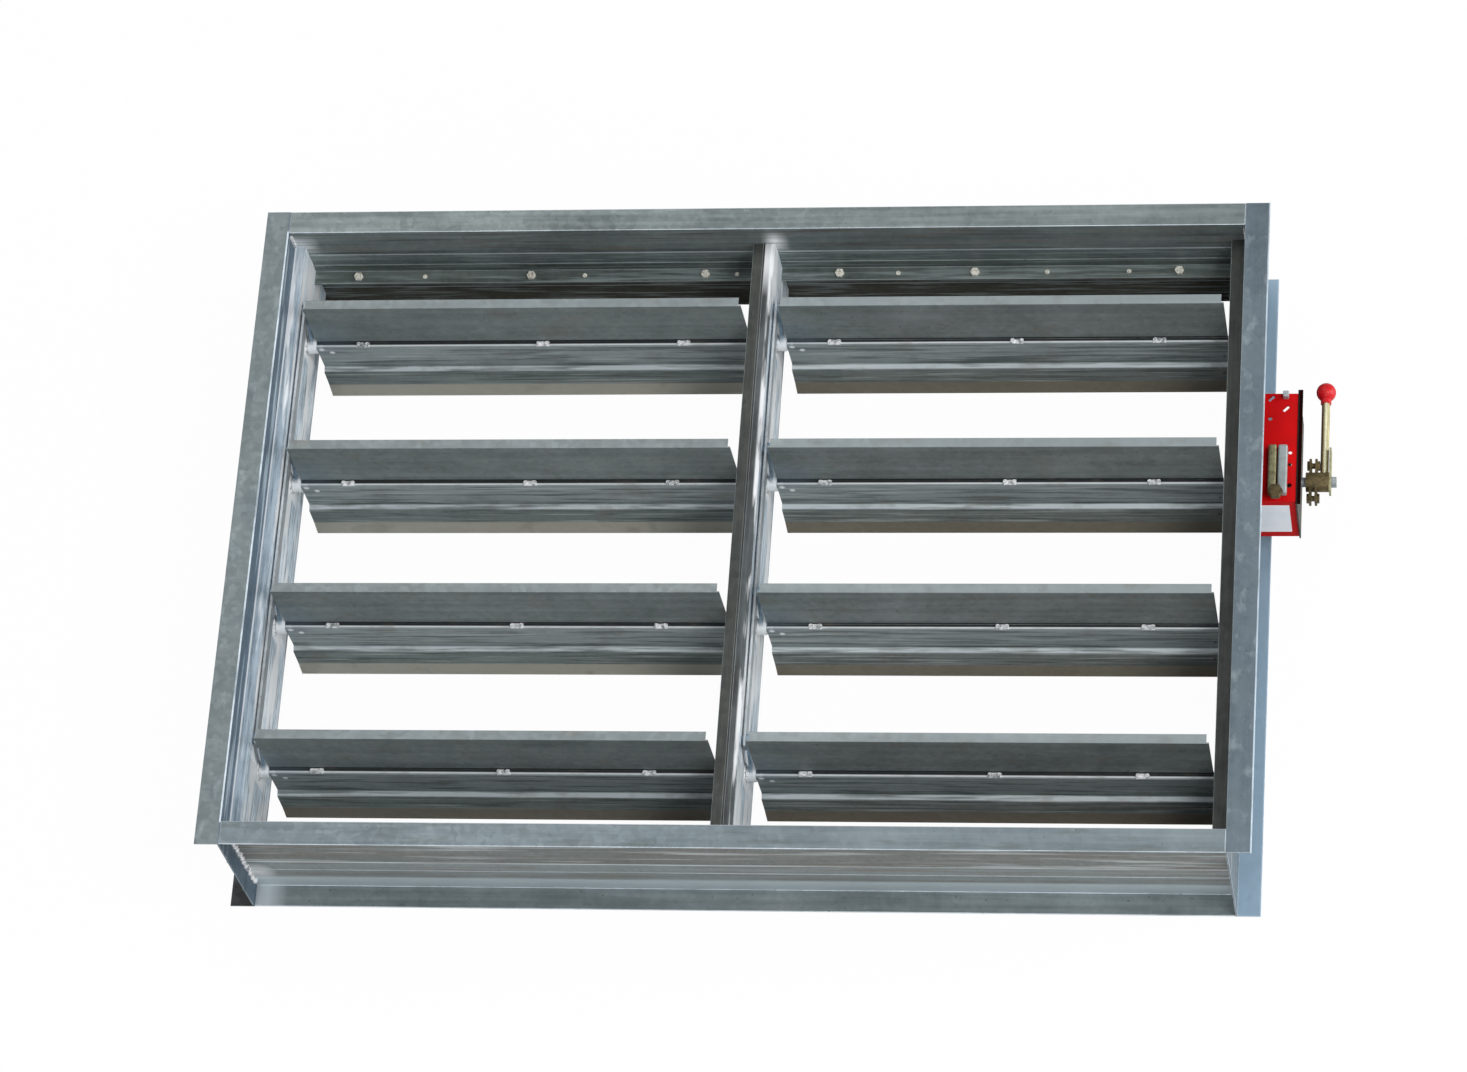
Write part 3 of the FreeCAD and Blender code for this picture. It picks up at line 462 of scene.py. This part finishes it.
# Bends, pivots and small fittings
finishes.update({
    "bendGlint": {"pale": (222, 232, 238), "dark": (150, 162, 168), "metal": 0.6},
    "bendGlintDull": {"pale": (176, 185, 186), "dark": (112, 121, 122)},
    # pivotBright and boltBright are near-white with strong streaks: painted highlights and glare on pivots,
    # clips, bushes, welds and bolt heads; crankZinc has a painted highlight on each hub
    "pivotBright": {"pale": (255, 255, 255), "dark": (96, 106, 112), "stretch": (40, 40, 40), "streaky": 0.9,
                    "grain": 90.0, "metal": 0.2},
    "crankZinc": {"pale": (150, 172, 188), "dark": (78, 98, 114), "stretch": fineSpeckle, "metal": 0.3,
                  "patches": [patch({"R": -0.002, "Z": 0.1}, 0.012, 0.004, white, 0.95)]},
    "boltBright": {"pale": (255, 252, 240), "dark": (122, 114, 94), "stretch": (60, 60, 60), "streaky": 0.9,
                   "grain": 90.0, "metal": 0.15, "speck": 0.0},
    "brightSteel": {"pale": (206, 212, 216), "dark": (110, 118, 122), "grain": 300.0, "metal": 0.6},
    "shaftSteel": {"pale": (190, 196, 198), "dark": (92, 98, 100), "stretch": (2, 40, 40), "metal": 0.7},
    "zincPlate": {"pale": (196, 204, 204), "dark": (112, 122, 120), "grain": 260.0, "metal": 0.5},
    "yellowZinc": {"pale": (188, 184, 142), "dark": (92, 88, 62), "stretch": fineSpeckle, "metal": 0.6},
    "bronzeZinc": {"pale": (122, 108, 72), "dark": (48, 40, 26), "stretch": fineSpeckle, "metal": 0.6},
})

finishes["sidePlate"] = {
    "pale": (74, 68, 48), "dark": (26, 24, 18), "grain": 260.0, "metal": 0.5,
    "bands": [band([above("Z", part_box("actuator_side_plate")[1].z - 0.0035, 0.0004)], (26, 3, 2), 1.0)]}

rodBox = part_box("lever_rod")
rodWide = rodBox[1].x - rodBox[0].x
finishes["rodZinc"] = {
    "pale": (206, 198, 150), "dark": (120, 112, 78), "stretch": (60, 4, 60), "metal": 0.6, "speck": 0.1,
    # painted reflection: the rod's left part dark reddish; painted highlight: a pale yellow strip right of
    # the middle
    "bands": [band([below("X", rodBox[0].x + rodWide * 0.3, 0.0008)], (104, 62, 52), 0.8),
              band([around("X", rodBox[0].x + rodWide * 0.58, rodWide * 0.1, 0.0006)],
                   (252, 250, 222), 0.8)]}

# Places along a blade's depth, from its rear edge to its lip, and the tones of the blades' undersides
bladePlaces = {"stripEnd": 0.026, "stepRear": 0.0545, "stepFore": 0.059, "ledge": 0.107, "lip": 0.1972}
# line and step are painted highlights, endShade is painted shade
bladeTones = {"warm": (112, 102, 86), "line": (250, 254, 255), "step": (214, 223, 226),
              "endShade": (112, 136, 152), "veinDark": (60, 70, 68), "veinPale": (222, 228, 226),
              "stain": (118, 112, 100)}


def bladeFinish(node, pale, dark, bandTint, trough, strip, lip):
    # the underside of a blade: a black line of painted shade over a painted highlight line along the ledge,
    # a painted highlight on the step behind it, then a darker trough and a brownish rear strip, with small
    # rivet holes near the far end drawn as black spots of painted shade, and near the near end a painted
    # shade and two painted highlights
    nearEnd, farEnd = (corner.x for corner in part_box(node))
    at, tints = bladePlaces, bladeTones
    rearStrip = below("Z", at["stripEnd"], 0.0012)
    ledge = within("Z", at["ledge"] + 0.0002, at["ledge"] + 0.0055, 0.0004)
    lineRear = within("Z", at["ledge"] + 0.0002, at["ledge"] + 0.002, 0.0004)
    lineFore = within("Z", at["ledge"] + 0.0008, at["ledge"] + 0.0055, 0.0004)
    drawn = [within("Z", at["stripEnd"], at["ledge"], 0.001)]
    return {"pale": pale, "dark": dark, "stretch": alongX, "streaky": 0.24,
            "bands": [band([within("Z", at["stepFore"], at["ledge"], 0.0008)], bandTint, 0.6),
                      band([within("Z", at["stripEnd"], at["stepRear"], 0.0008)], trough, 0.75),
                      band([rearStrip], strip, 0.78),
                      band([rearStrip, below("Y", -0.28, 0.01)], tints["warm"], 0.75),
                      band([above("Z", at["lip"], 0.0004)], lip, 0.6),
                      band([ledge, within("R", -0.009, 0.0, 0.0004)], bandTint, 0.7),
                      band([lineFore, within("R", -0.0034, 0.001, 0.0003)], black, 0.92),
                      band([lineRear, within("R", -0.0058, -0.0034, 0.0003)], tints["line"], 0.95),
                      band([within("Z", at["stepRear"], at["stepFore"] + 0.0002, 0.0005),
                            within("R", -0.014, -0.0085, 0.0005)], tints["step"], 0.85)],
            "veins": [vein(drawn, (9, 170, 170), 0.48, 0.62, tints["veinDark"], 0.62),
                      vein(drawn, (7, 130, 210), 0.54, 0.68, tints["veinPale"], 0.4),
                      vein([], (26, 40, 26), 0.56, 0.7, tints["stain"], 0.3)],
            "patches": [patch({"X": farEnd - 0.006, "R": -0.0076, "Z": 0.074}, 0.0016, 0.0006, black, 0.9),
                        patch({"X": farEnd - 0.008, "R": -0.0155, "Z": 0.045}, 0.0018, 0.0006, black, 0.9),
                        patch({"X": farEnd, "R": -0.0155, "Z": 0.054}, 0.003, 0.001, black, 0.8),
                        patch({"X": farEnd, "R": -0.004, "Z": 0.104}, 0.003, 0.001, black, 0.8),
                        patch({"X": nearEnd + 0.012, "R": 0.030, "Z": 0.125}, 0.030, 0.026,
                              tints["endShade"], 0.6),
                        patch({"X": nearEnd + 0.006, "R": -0.005, "Z": 0.104}, 0.0042, 0.001, white, 0.95),
                        patch({"X": nearEnd + 0.018, "R": -0.0065, "Z": 0.096}, 0.0034, 0.001, white, 0.9)]}


finishes["bladeZincLeft"] = bladeFinish(
    "blade_left_1", pale=(150, 159, 158), dark=(96, 106, 105), bandTint=(180, 191, 194),
    trough=(130, 143, 141), strip=(200, 196, 182), lip=(132, 140, 142))
finishes["bladeZincRight"] = bladeFinish(
    "blade_right_1", pale=(142, 150, 149), dark=(86, 95, 93), bandTint=(166, 177, 179),
    trough=(120, 129, 125), strip=(128, 118, 98), lip=(152, 162, 165))
materials = {name: zincMaterial(name, spec) for name, spec in finishes.items()}


paints = {
    "redPaint": {"pale": (205, 3, 6), "dark": (186, 2, 5), "rough": 0.7, "coat": 0.0, "shine": 0.15},
    "knobRed": {"pale": (200, 8, 20), "dark": (186, 6, 14), "rough": 0.46, "coat": 0.05, "shine": 0.35},
    "blackEdge": {"pale": (32, 5, 4), "dark": (20, 3, 2), "rough": 0.85, "coat": 0.0, "shine": 0.03},
    "labelFilm": {"pale": (252, 253, 255), "dark": (236, 240, 246), "rough": 0.6, "coat": 0.0, "shine": 0.5},
}
paintSkin = {"smoother": 0.05, "rougher": 0.07, "coatRough": 0.12, "bump": 0.08, "bumpDistance": 0.001,
             "cloud": {"scale": 22.0, "detail": 4.0, "rough": 0.6, "low": 0.3, "high": 0.7},
             "peel": {"scale": 420.0, "detail": 2.0, "rough": 0.5}}


def paintMaterial(name, spec):
    # sprayed or moulded colour with orange-peel bump, faint dust and a coat
    mat, tree, shader = startMaterial(name)
    place = objectPlace(tree)
    cloudy = noise(tree, place, paintSkin["cloud"])
    share = spreadNoise(tree, cloudy, paintSkin["cloud"])
    join(tree, mixColour(tree, share, tone(*spec["dark"]), tone(*spec["pale"])), shader.inputs["Base Color"])
    low, high = spec["rough"] - paintSkin["smoother"], spec["rough"] + paintSkin["rougher"]
    join(tree, spread(tree, share, 0.0, 1.0, low, high), shader.inputs["Roughness"])
    shader.inputs["Coat Weight"].default_value = spec["coat"]
    shader.inputs["Coat Roughness"].default_value = paintSkin["coatRough"]
    shader.inputs["Specular IOR Level"].default_value = spec["shine"]
    peel = noise(tree, place, paintSkin["peel"])
    addBump(tree, shader, peel, paintSkin["bump"], paintSkin["bumpDistance"])
    return mat


materials.update({name: paintMaterial(name, spec) for name, spec in paints.items()})
print("materials made:", len(materials))


# Finishes by the start of a node's name, and for all other nodes by their slot
finishByName = {
    "frame_left_jamb": "jambZinc", "frame_right_jamb": "jambZinc", "frame_bottom_member": "lowerZinc",
    "left_bearing_rail": "railZinc", "right_bearing_rail": "railShaded", "mullion_left_half": "railShaded",
    "mullion_right_half": "mullionBright", "mullion_core": "mullionZinc", "blade_left": "bladeZincLeft",
    "blade_right": "bladeZincRight", "blade_studs": "pivotBright", "corner_welds": "pivotBright",
    "bushes": "pivotBright", "stop_fasteners": "boltBright", "crank": "crankZinc", "shaft_row": "shaftSteel",
    "actuator_side_plate": "sidePlate", "lever_rod": "rodZinc", "lever_hub": "bronzeZinc",
    "hub_bolts": "bronzeZinc", "latch_nut": "bronzeZinc",
}
finishBySlot = {
    "galvanised_frame": "memberZinc", "dark_stop": "stopZinc", "bright_steel": "brightSteel",
    "zinc_plate": "zincPlate", "zinc_yellow": "yellowZinc", "red_paint": "redPaint",
    "black_edge": "blackEdge", "label_white": "labelFilm", "knob_red": "knobRed",
}


def finishFor(node):
    for start, finish in finishByName.items():
        if node.startswith(start):
            return finish
    return finishBySlot[slotOf[node]]


# Bends and cut edges of the bare zinc catch the light, so they have a brighter skin.
glints = {"memberZinc": "bendGlint", "lowerZinc": "bendGlint", "jambZinc": "bendGlint",
          "railZinc": "bendGlint", "mullionBright": "bendGlint", "railShaded": "bendGlintDull",
          "bladeZincLeft": "bendGlintDull", "bladeZincRight": "bendGlintDull", "stopZinc": "bendGlintDull"}

for node, obj in frame["nodes"].items():
    mat = materials[finishFor(node)]
    if obj.data.materials:
        for index in range(len(obj.data.materials)):
            obj.data.materials[index] = mat
    else:
        obj.data.materials.append(mat)


roundUpTo = math.radians(50)


def settleNormals(mesh):
    # large flat faces keep their own direction, so that only the narrow bends shade round
    touching = [[] for vert in mesh.vertices]
    for poly in mesh.polygons:
        for index in poly.vertices:
            touching[index].append(poly.index)
    facing = [poly.normal.copy() for poly in mesh.polygons]
    size = [poly.area for poly in mesh.polygons]
    limit = math.cos(roundUpTo)
    directions = []
    for poly in mesh.polygons:
        own = facing[poly.index]
        for index in poly.vertices:
            total = Vector((0, 0, 0))
            for other in touching[index]:
                if facing[other].dot(own) > limit:
                    total += facing[other] * size[other]
            directions.append(total.normalized() if total.length > 0 else own)
    mesh.normals_split_custom_set(directions)


def finishPiece(name, bm, body, slotName, *mats):
    # turns a bmesh into an object that rides on its body
    bmesh.ops.recalc_face_normals(bm, faces=bm.faces)
    for edge in bm.edges:
        if len(edge.link_faces) == 2:
            edge.smooth = edge.calc_face_angle(0.0) < roundUpTo
    for face in bm.faces:
        face.smooth = True
    mesh = bpy.data.meshes.new(name)
    bm.to_mesh(mesh)
    bm.free()
    settleNormals(mesh)
    obj = bpy.data.objects.new(name, mesh)
    scene.collection.objects.link(obj)
    for mat in mats:
        mesh.materials.append(mat)
    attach(obj, body)
    return obj


# How far each piece's sharp edges are rounded, in metres, as folded sheet and turned parts are
bends = {
    "frame_top_member": 0.0009, "frame_bottom_member": 0.0009, "frame_left_jamb": 0.0009,
    "frame_right_jamb": 0.0009, "left_bearing_rail": 0.0007, "right_bearing_rail": 0.0007,
    "mullion_left_half": 0.0007, "mullion_right_half": 0.0007, "actuator_bracket": 0.0008,
    "actuator_side_plate": 0.0008, "tie_bar_left": 0.0005, "tie_bar_right": 0.0005,
    "stop_top_left": 0.0007, "stop_top_right": 0.0007, "stop_bottom_left": 0.0007,
    "stop_bottom_right": 0.0007, "lever_hub": 0.0007, "hub_bolts": 0.0006, "lever_keeper_plate": 0.0005,
    "latch_bar_inner": 0.0022, "latch_bar_outer": 0.0022, "latch_nut": 0.001,
    "spring_drum_inner": 0.0016, "spring_drum_outer": 0.0022, "stop_fasteners": 0.0004,
    "latch_clip": 0.0008, "actuator_edge_strip": 0.0006,
}
for row in range(1, 5):
    for side in ("left", "right"):
        bends["blade_%s_%d" % (side, row)] = 0.0006
        bends["crank_%s_%d" % (side, row)] = 0.0006
    bends["blade_studs_%d" % row] = 0.0005
bendRule = {"weld": 0.00001, "flat": math.radians(1), "sharp": math.radians(24), "segments": 2}


def withBends(node, radius):
    # a copy of the node with its sharp edges rounded; on bare zinc the rounded faces get the brighter skin
    source = frame["nodes"][node]
    bm = bmesh.new()
    bm.from_mesh(source.data)
    bmesh.ops.remove_doubles(bm, verts=bm.verts, dist=bendRule["weld"])
    bmesh.ops.dissolve_limit(bm, angle_limit=bendRule["flat"], verts=bm.verts, edges=bm.edges,
                             use_dissolve_boundaries=False, delimit=set())
    sharp = [e for e in bm.edges if len(e.link_faces) == 2 and e.calc_face_angle(0.0) > bendRule["sharp"]]
    for face in bm.faces:
        face.material_index = 0
    rounded = bmesh.ops.bevel(bm, geom=sharp, offset=radius, offset_type="OFFSET",
                              segments=bendRule["segments"], profile=0.5, affect="EDGES",
                              clamp_overlap=True, material=-1)["faces"]
    finish = finishFor(node)
    mats = [materials[finish]]
    if finish in glints:
        mats.append(materials[glints[finish]])
        for face in rounded:
            face.material_index = 1
    piece = finishPiece(node + "_formed", bm, bodyOf[node], slotOf[node], *mats)
    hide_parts(node)


for node, radius in bends.items():
    withBends(node, radius)
print("formed pieces:", len(bends))


# The lever's ball stands on a short neck. Both are turned about Y; inset and lift keep them in the CAD box.
knob = {"radius": 0.012, "neck": 0.0065, "neckInto": 0.004, "inset": 0.00003, "lift": 0.0001,
        "around": 48, "rings": 32, "neckAround": 40}


def leverBall():
    low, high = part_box("lever_knob")
    middle = Vector(((low.x + high.x) / 2, high.y - knob["radius"], (low.z + high.z) / 2))
    bm = bmesh.new()
    bmesh.ops.create_uvsphere(bm, u_segments=knob["around"], v_segments=knob["rings"],
                              radius=knob["radius"] - knob["inset"])
    for vert in bm.verts:
        vert.co = Vector((vert.co.x, vert.co.z, vert.co.y)) + middle
    ring = bmesh.ops.create_circle(bm, segments=knob["neckAround"], radius=knob["neck"])["verts"]
    for vert in ring:
        vert.co = Vector((middle.x + vert.co.x, low.y + knob["lift"], middle.z + vert.co.y))
    # each edge once, in the ring's own order, so that every run makes the same faces
    edges = list(dict.fromkeys(e for v in ring for e in v.link_edges))
    grown = bmesh.ops.extrude_edge_only(bm, edges=edges)["geom"]
    for vert in [g for g in grown if isinstance(g, bmesh.types.BMVert)]:
        vert.co.y = middle.y - knob["neckInto"]
    bmesh.ops.edgeloop_fill(bm, edges=edges)
    piece = finishPiece("lever_ball", bm, bodyOf["lever_knob"], "knob_red", materials["knobRed"])
    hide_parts("lever_knob")


leverBall()

# A rough weld bead in the lower left corner, where the bottom member meets the jamb: a row of lumps whose
# size and place waver with the lump's number
cornerBead = {"rear": 0.016, "front": 0.150, "lumps": 30, "radius": 0.0032, "sheet": 0.002, "stand": 0.0012,
              "swell": (0.3, 2.4), "swayX": (0.0007, 1.7), "swayY": (0.0006, 3.1)}


def waver(key, lump):
    size, pace = cornerBead[key]
    return size * math.sin(lump * pace)


def weldBead():
    low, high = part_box("frame_bottom_member")
    bm = bmesh.new()
    for lump in range(cornerBead["lumps"]):
        share = lump / (cornerBead["lumps"] - 1)
        size = cornerBead["radius"] * (1 + waver("swell", lump))
        ball = bmesh.ops.create_icosphere(bm, subdivisions=2, radius=size)["verts"]
        middle = Vector((low.x + cornerBead["stand"] + waver("swayX", lump),
                         high.y - cornerBead["sheet"] - cornerBead["stand"] - waver("swayY", lump),
                         cornerBead["rear"] + share * (cornerBead["front"] - cornerBead["rear"])))
        bmesh.ops.translate(bm, verts=ball, vec=middle)
    finishPiece("corner_bead_left", bm, bodyOf["frame_bottom_member"], "bright_steel",
                materials["pivotBright"])


weldBead()
print("lever ball and corner bead done")

# A pale floor that keeps the shadow and looks white to the camera
stageLook = {"whiteness": 0.97, "floor": (0.86, 0.86, 0.86, 1), "size": 12.0, "gap": 0.0006, "rough": 0.9}


def paleFloor():
    floorMesh = bpy.data.meshes.new("floor")
    bm = bmesh.new()
    bmesh.ops.create_grid(bm, x_segments=1, y_segments=1, size=stageLook["size"])
    for vert in bm.verts:
        vert.co.z -= stageLook["gap"]
    bm.to_mesh(floorMesh)
    bm.free()
    floorObj = bpy.data.objects.new("floor", floorMesh)
    scene.collection.objects.link(floorObj)
    mat, tree, shader = startMaterial("floorPale")
    shader.inputs["Base Color"].default_value = stageLook["floor"]
    shader.inputs["Roughness"].default_value = stageLook["rough"]
    glow = tree.nodes.new("ShaderNodeEmission")
    glow.inputs["Color"].default_value = (1, 1, 1, 1)
    rays = tree.nodes.new("ShaderNodeLightPath")
    blendIn = tree.nodes.new("ShaderNodeMixShader")
    seen = mathNode(tree, "MAXIMUM", rays.outputs["Is Camera Ray"], rays.outputs["Is Transmission Ray"])
    join(tree, mathNode(tree, "MULTIPLY", seen, stageLook["whiteness"]), blendIn.inputs[0])
    join(tree, shader.outputs[0], blendIn.inputs[1])
    join(tree, glow.outputs[0], blendIn.inputs[2])
    join(tree, blendIn.outputs[0], tree.nodes["Material Output"].inputs["Surface"])
    floorMesh.materials.append(mat)


paleFloor()

# The studio's own light, and plain white where the camera sees past the floor
studio = {"tint": (0.93, 0.95, 1.0, 1), "strength": 0.42}


def studioWorld():
    world = bpy.data.worlds.new("studio")
    scene.world = world
    world.use_nodes = True
    tree = world.node_tree
    back = tree.nodes["Background"]
    back.inputs["Color"].default_value = studio["tint"]
    back.inputs["Strength"].default_value = studio["strength"]
    plainBack = tree.nodes.new("ShaderNodeBackground")
    plainBack.inputs["Color"].default_value = (1, 1, 1, 1)
    plainBack.inputs["Strength"].default_value = 1.0
    rays = tree.nodes.new("ShaderNodeLightPath")
    blend = tree.nodes.new("ShaderNodeMixShader")
    join(tree, rays.outputs["Is Camera Ray"], blend.inputs[0])
    join(tree, back.outputs[0], blend.inputs[1])
    join(tree, plainBack.outputs[0], blend.inputs[2])
    join(tree, blend.outputs[0], tree.nodes["World Output"].inputs["Surface"])


studioWorld()

lamps = {
    "keyLamp": {"at": (2.4, -1.2, 3.6), "size": (1.8, 1.8), "watts": 76},
    "frontLamp": {"at": (-0.6, -3.6, 2.6), "size": (2.4, 1.6), "watts": 45},
    "topLamp": {"at": (-1.2, 1.6, 3.8), "size": (2.4, 2.4), "watts": 40},
    "sideLamp": {"at": (3.4, 0.3, 1.0), "size": (1.6, 1.6), "watts": 60},
}
lampAim = Vector((0, 0, 0.1))


def softLamp(name, spec):
    data = bpy.data.lights.new(name, "AREA")
    data.shape = "RECTANGLE"
    data.size, data.size_y = spec["size"]
    data.energy = spec["watts"]
    lamp = bpy.data.objects.new(name, data)
    scene.collection.objects.link(lamp)
    lamp.location = spec["at"]
    lamp.rotation_euler = (lampAim - Vector(spec["at"])).to_track_quat("-Z", "Y").to_euler()


for name, spec in lamps.items():
    softLamp(name, spec)

# The camera as it was fitted to the photograph; the focal length is in the photo's pixels
view = {"at": (1.03983279, -2.88319646, 6.15525295), "turn": (25.931589, 8.103002, 3.902042),
        "pixelFocus": 5537.68, "wide": 1467, "sensor": 36.0, "near": 0.1, "far": 60}
cameraData = bpy.data.cameras.new("photoCamera")
cameraData.sensor_fit = "HORIZONTAL"
cameraData.sensor_width = view["sensor"]
cameraData.lens = view["pixelFocus"] * view["sensor"] / view["wide"]
cameraData.clip_start = view["near"]
cameraData.clip_end = view["far"]
camera = bpy.data.objects.new("photoCamera", cameraData)
scene.collection.objects.link(camera)
camera.location = view["at"]
camera.rotation_euler = [math.radians(angle) for angle in view["turn"]]
scene.camera = camera
scene.view_settings.view_transform = "Standard"
print("camera and lamps set")
